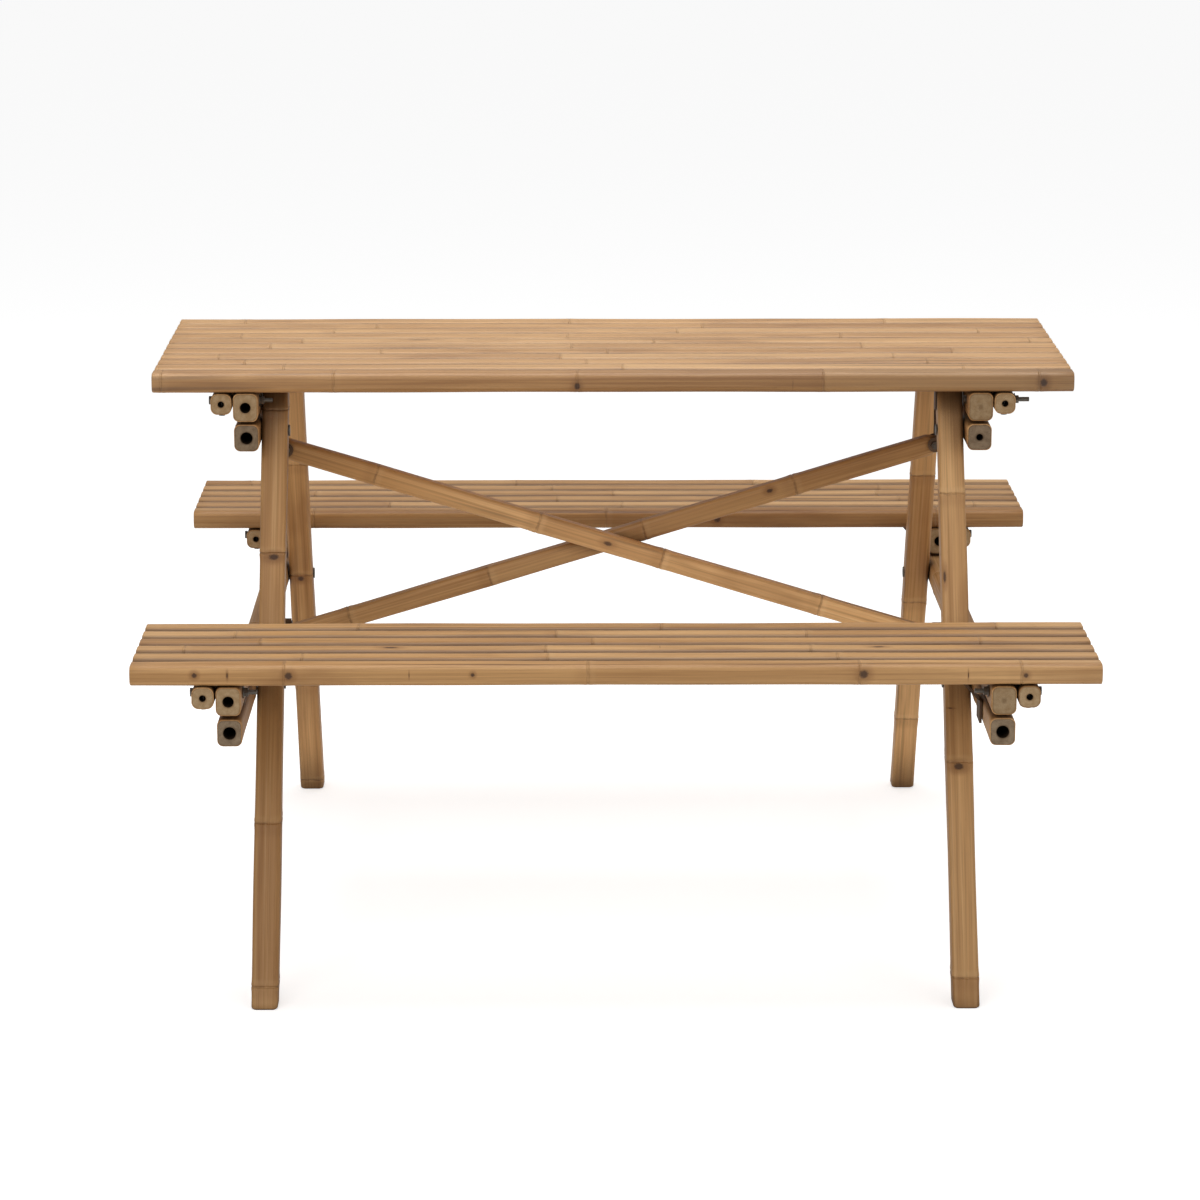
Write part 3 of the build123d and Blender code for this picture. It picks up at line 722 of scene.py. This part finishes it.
def build_rails():
    """Upper rails and battens of the three panels, then the lower rails of the two frames."""
    seed = FIRST_RAIL_SEED
    for panel, body in (("top", "table_top"), ("front_bench", "front_bench"),
                        ("rear_bench", "rear_bench")):
        for side in ("left", "right"):
            closed = side == "right" and panel != "rear_bench"
            cross_pole(f"{panel}_upper_rail_{side}", body, seed, RAIL_ROUND, UPPER_BORE,
                       open_start=not closed, tone=0.2 if closed else 0.5)
            cross_pole(f"{panel}_batten_{side}", body, seed + 1, BATTEN_ROUND, BATTEN_BORE, tone=0.55)
            seed += 2
    for side, top_bore in (("left", LOWER_BORE), ("right", SMALL_LOWER_BORE)):
        body = side + "_frame"
        cross_pole(f"{side}_top_rail", body, seed, RAIL_ROUND, top_bore,
                   end_material=END_GREY, tone=0.35)
        cross_pole(f"{side}_seat_rail", body, seed + 1, RAIL_ROUND, LOWER_BORE,
                   end_material=END_GREY, tone=0.45)
        seed += 2


def build_legs():
    leg("left_front_leg", "left_frame", 120, [0.03, 0.243, 0.603, 0.8],
        [(0.598, 0.002, LEG_FRONT, 0.0055, 0.0085)], (0.12, -0.15, 0.1), SKIN_POLE)
    leg("right_front_leg", "right_frame", 121, [0.04, 0.322, 0.683],
        [(0.316, -0.002, LEG_FRONT, 0.006, 0.008), (0.57, -0.014, LEG_FRONT, 0.012, 0.003)],
        (0.5, 0.7, 1.0), SKIN_POLE)
    # rear legs: brighter pole skin with painted light, and a tone that is bright at the foot and dark
    # at mid-height, painted light near the floor and painted shade above
    leg("left_rear_leg", "left_frame", 122, [0.018, 0.21, 0.424, 0.63],
        [(0.418, 0.0, LEG_FRONT, 0.006, 0.006)], (1.75, 0.0, 0.5), SKIN_POLE_PAINTED_LIGHT)
    leg("right_rear_leg", "right_frame", 123, [0.14, 0.37, 0.608], (), (1.75, 0.0, 0.4), SKIN_POLE_PAINTED_LIGHT)


def build_braces():
    # the front brace wears the brighter pole skin with painted light
    brace("front_brace", -BRACE_RISE, 130, [0.14, 0.37, 0.545, 0.77],
          [(0.468, BRACE_FRONT, 0.001, 0.008, 0.004)], (-0.25, 1.5, 1.3), SKIN_POLE_PAINTED_LIGHT)
    brace("rear_brace", BRACE_RISE, 131, [0.1, 0.3, 0.52, 0.735],
          [(0.7, BRACE_FRONT, 0.004, 0.006, 0.004)], (0.3, 0.25, 0.2), SKIN_POLE)


def finish_hardware():
    """CAD pieces that still show: zinc on bolts and screws, brown coat on leaves and brackets."""
    for name, piece in nodes.items():
        if piece.hide_render:
            continue
        coated = any(word in name for word in ("hinge_leaves", "catches", "brackets"))
        piece.data.materials.clear()
        piece.data.materials.append(COATED if coated else STEEL)


build_tabletop()
build_benches()
build_rails()
build_legs()
build_braces()
finish_hardware()

# ---------------------------------------------------------------- studio

FLOOR_SIZE = 30
FLOOR_BOUNCE = (0.86, 0.85, 0.83, 1)
FLOOR_SEEN = (0.9, 0.9, 0.9, 1)
FLOOR_GLOW = 0.62
SKY_LIGHT = 0.36
SKY_SEEN = 1.0
LIGHTS = (
    # name, place, target, size, watts
    ("key", (-1.5, -3.4, 2.6), (0, 0, 0.4), (2.4, 1.8), 26),
    ("fill", (2.6, -3.0, 1.6), (0, 0, 0.4), (2.0, 2.0), 12),
    ("top", (0, 0.2, 3.4), (0, 0, 0.5), (3.4, 2.8), 66),
)
CAMERA_PLACE = (-0.062, -5.895, 1.713)
CAMERA_PITCH_DOWN = 12.5
CAMERA_YAW = -0.452
CAMERA_LENS = 132.4


def floor_material():
    """White floor that glows a little for the camera alone, so it joins the backdrop."""
    g = Graph("floor_white")
    seen = g.node("ShaderNodeLightPath").outputs["Is Camera Ray"]
    made = g.surface(g.mix(seen, FLOOR_BOUNCE, FLOOR_SEEN), 0.9, 0.0, None, 0.0, 0.0)
    shader = next(n for n in g.tree.nodes if n.type == "BSDF_PRINCIPLED")
    g.put((1, 1, 1, 1), shader.inputs["Emission Color"])
    g.put(g.math("MULTIPLY", seen, FLOOR_GLOW), shader.inputs["Emission Strength"])
    return made


def build_floor():
    mesh = bpy.data.meshes.new("floor")
    grid = bmesh.new()
    bmesh.ops.create_grid(grid, x_segments=2, y_segments=2, size=FLOOR_SIZE)
    grid.to_mesh(mesh)
    grid.free()
    floor = bpy.data.objects.new("floor", mesh)
    bpy.context.scene.collection.objects.link(floor)
    mesh.materials.append(floor_material())


def build_world():
    """White sky: soft light for the object, full white for the camera."""
    world = bpy.data.worlds.new("studio")
    bpy.context.scene.world = world
    world.use_nodes = True
    tree = world.node_tree
    sky = tree.nodes["Background"]
    sky.inputs[0].default_value = (1, 1, 1, 1)
    seen = tree.nodes.new("ShaderNodeLightPath")
    level = tree.nodes.new("ShaderNodeMapRange")
    level.inputs["To Min"].default_value = SKY_LIGHT
    level.inputs["To Max"].default_value = SKY_SEEN
    tree.links.new(seen.outputs["Is Camera Ray"], level.inputs["Value"])
    tree.links.new(level.outputs[0], sky.inputs[1])


def area_light(name, place, target, size, power):
    data = bpy.data.lights.new(name, "AREA")
    data.shape = "RECTANGLE"
    data.size, data.size_y = size
    data.energy = power
    made = bpy.data.objects.new(name, data)
    bpy.context.scene.collection.objects.link(made)
    made.location = place
    made.rotation_mode = "QUATERNION"
    made.rotation_quaternion = (Vector(target) - Vector(place)).to_track_quat("-Z", "Y")


def build_camera():
    data = bpy.data.cameras.new("camera")
    data.lens = CAMERA_LENS
    data.sensor_width = 36.0
    data.clip_end = 100
    camera = bpy.data.objects.new("camera", data)
    bpy.context.scene.collection.objects.link(camera)
    camera.location = CAMERA_PLACE
    pitch = math.radians(90 - CAMERA_PITCH_DOWN)
    camera.rotation_euler = (pitch, 0, math.radians(CAMERA_YAW))
    bpy.context.scene.camera = camera
    bpy.context.scene.view_settings.view_transform = "Standard"


build_floor()
build_world()
for light in LIGHTS:
    area_light(*light)
build_camera()
